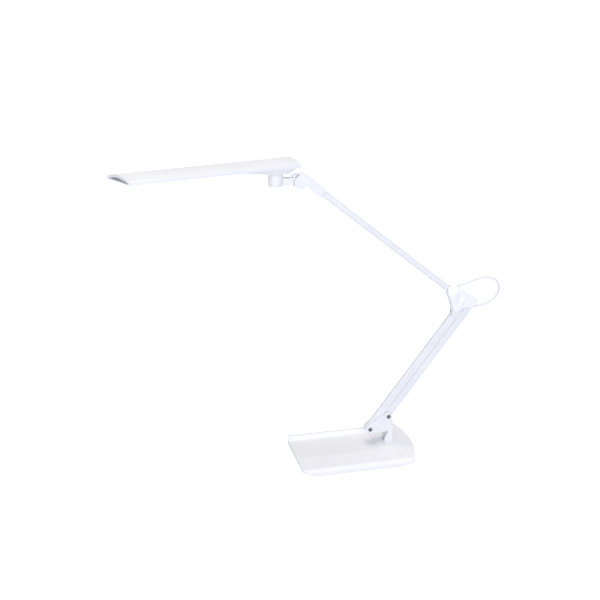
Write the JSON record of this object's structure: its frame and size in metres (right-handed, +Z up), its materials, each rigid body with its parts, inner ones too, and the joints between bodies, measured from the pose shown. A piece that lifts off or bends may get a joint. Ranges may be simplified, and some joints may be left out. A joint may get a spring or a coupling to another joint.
{
  "type": "led desk lamp",
  "caption": "Desk lamp with a flat arched light head on a swivelling, tilting neck, a straight upper arm, a parallel-bar lower arm and a weighted base with a pen tray.",
  "frame": {"origin": "middle of the base's underside, on the surface the lamp stands on", "axes": "+X to the right seen from the front, +Y to the back, +Z up; the arms lie in an upright plane along X"},
  "size_m": [0.6414, 0.1437, 0.5145],
  "materials": {
    "white_plastic": "satin white moulding",
    "grey_plastic": "fine matt grain",
    "dark_plastic": "matt",
    "white_enamel": "white powder coat on aluminium tube",
    "aluminium": "plain rolled",
    "cast_weight": "rough cast",
    "screw_steel": "zinc plated",
    "dark_steel": "dark nickel",
    "dark_rubber": "matt",
    "white_rubber": "satin",
    "nylon": "natural nylon",
    "frosted_panel": "frosted acrylic",
    "board": "white solder mask",
    "led": "phosphor resin"
  },
  "bodies": {
    "base": {"base_top_shell": "white_plastic", "base_bottom_plate": "grey_plastic", "base_weight": "cast_weight", "non_slip_pad": "dark_rubber", "base_screws": "screw_steel", "cord_grommet": "white_rubber", "bracket_front_half": "white_plastic", "bracket_rear_half": "white_plastic", "bracket_screws": "screw_steel", "bracket_tie_screw": "screw_steel", "lower_pivot_screws": "dark_steel", "lower_pivot_nuts": "dark_steel"},
    "front_bar": {"front_bar_tube": "white_enamel", "front_bar_lower_end": "white_plastic", "front_bar_upper_end": "white_plastic", "front_bar_bushes": "nylon"},
    "rear_bar": {"rear_bar_tube": "white_enamel", "rear_bar_lower_end": "white_plastic", "rear_bar_upper_end": "white_plastic", "rear_bar_bushes": "nylon"},
    "elbow": {"elbow_front_plate": "white_plastic", "elbow_rear_plate": "white_plastic", "elbow_front_cover": "white_plastic", "elbow_rear_cover": "white_plastic", "elbow_pins": "screw_steel", "elbow_bolt": "screw_steel", "elbow_nut": "screw_steel", "elbow_cable": "white_rubber"},
    "upper_arm": {"arm_root": "white_plastic", "upper_arm_tube": "white_enamel", "tilt_knuckle": "white_plastic", "tilt_bolt": "screw_steel", "tilt_nut": "screw_steel", "knuckle_front_cap": "white_plastic", "knuckle_rear_cap": "white_plastic", "arm_set_screws": "screw_steel"},
    "neck": {"neck": "white_plastic", "post_cap": "white_plastic", "neck_cable": "white_rubber"},
    "head": {"head_top_shell": "white_plastic", "head_bottom_frame": "white_plastic", "head_screws": "screw_steel", "chin_cover": "white_plastic", "chin_screws": "screw_steel", "diffuser": "frosted_panel", "heat_spreader": "aluminium", "led_board": "board", "led_chips": "led", "driver_board": "board", "swivel_shaft": "screw_steel", "swivel_washer": "nylon", "swivel_nut": "screw_steel", "button_switch": "dark_plastic"},
    "power_button": {"power_button": "grey_plastic"}
  },
  "joints": [
    {"name": "lower_arm_lift", "type": "hinge", "parent": "base", "child": "front_bar", "pos_m": [0.0296, 0.01, 0.0455], "axis": [0, -1, 0], "range_deg": [0, 50]},
    {"name": "rear_bar_follow", "type": "hinge", "parent": "base", "child": "rear_bar", "pos_m": [0.06179, 0.01, 0.06585], "axis": [0, -1, 0], "range_deg": [0, 50]},
    {"name": "elbow_level", "type": "hinge", "parent": "front_bar", "child": "elbow", "pos_m": [0.17467, 0.01, 0.23732], "axis": [0, -1, 0], "range_deg": [-50, 0]},
    {"name": "elbow_fold", "type": "hinge", "parent": "elbow", "child": "upper_arm", "pos_m": [0.17227, 0.01, 0.27632], "axis": [0, -1, 0], "range_deg": [-45, 35], "deforming": ["elbow_cable"]},
    {"name": "head_tilt", "type": "hinge", "parent": "upper_arm", "child": "neck", "pos_m": [-0.09112, 0.01, 0.47631], "axis": [0, -1, 0], "range_deg": [-30, 60], "deforming": ["neck_cable"]},
    {"name": "head_swivel", "type": "hinge", "parent": "neck", "child": "head", "pos_m": [-0.12962, 0.01, 0.49], "axis": [0, 0, 1], "range_deg": [-105, 75]},
    {"name": "power_press", "type": "slide", "parent": "head", "child": "power_button", "axis": [0, 0, 1], "range_m": [0, 0.0005], "stiffness_N_per_m": 400}
  ],
  "couplings": [
    {"joint": "rear_bar_follow", "follows": "lower_arm_lift", "ratio": 1},
    {"joint": "elbow_level", "follows": "lower_arm_lift", "ratio": -1}
  ]
}
